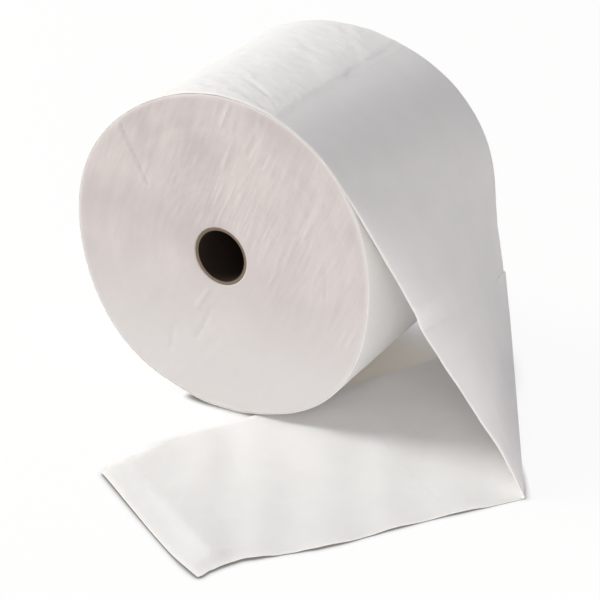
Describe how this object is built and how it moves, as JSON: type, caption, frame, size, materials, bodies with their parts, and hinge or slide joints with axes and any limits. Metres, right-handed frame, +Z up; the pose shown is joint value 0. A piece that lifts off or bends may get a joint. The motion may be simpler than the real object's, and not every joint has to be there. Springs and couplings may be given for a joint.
{
  "type": "toilet paper roll",
  "caption": "Toilet paper roll lying on its side on a cardboard core, its loose end drawn off over one side, hanging to the table, folded under and laid forward.",
  "frame": {"origin": "middle of the core's bore, half way between the two end faces", "axes": "+Y along the core, away from the end face that looks at the viewer; +Z up from the flat spot the roll rests on; the tail hangs on the +X side"},
  "size_m": [0.204, 0.2097, 0.1339],
  "materials": {
    "cardboard": "matte",
    "paper": "matte"
  },
  "bodies": {
    "root": {"core": "cardboard", "paper": "paper"}
  },
  "joints": []
}
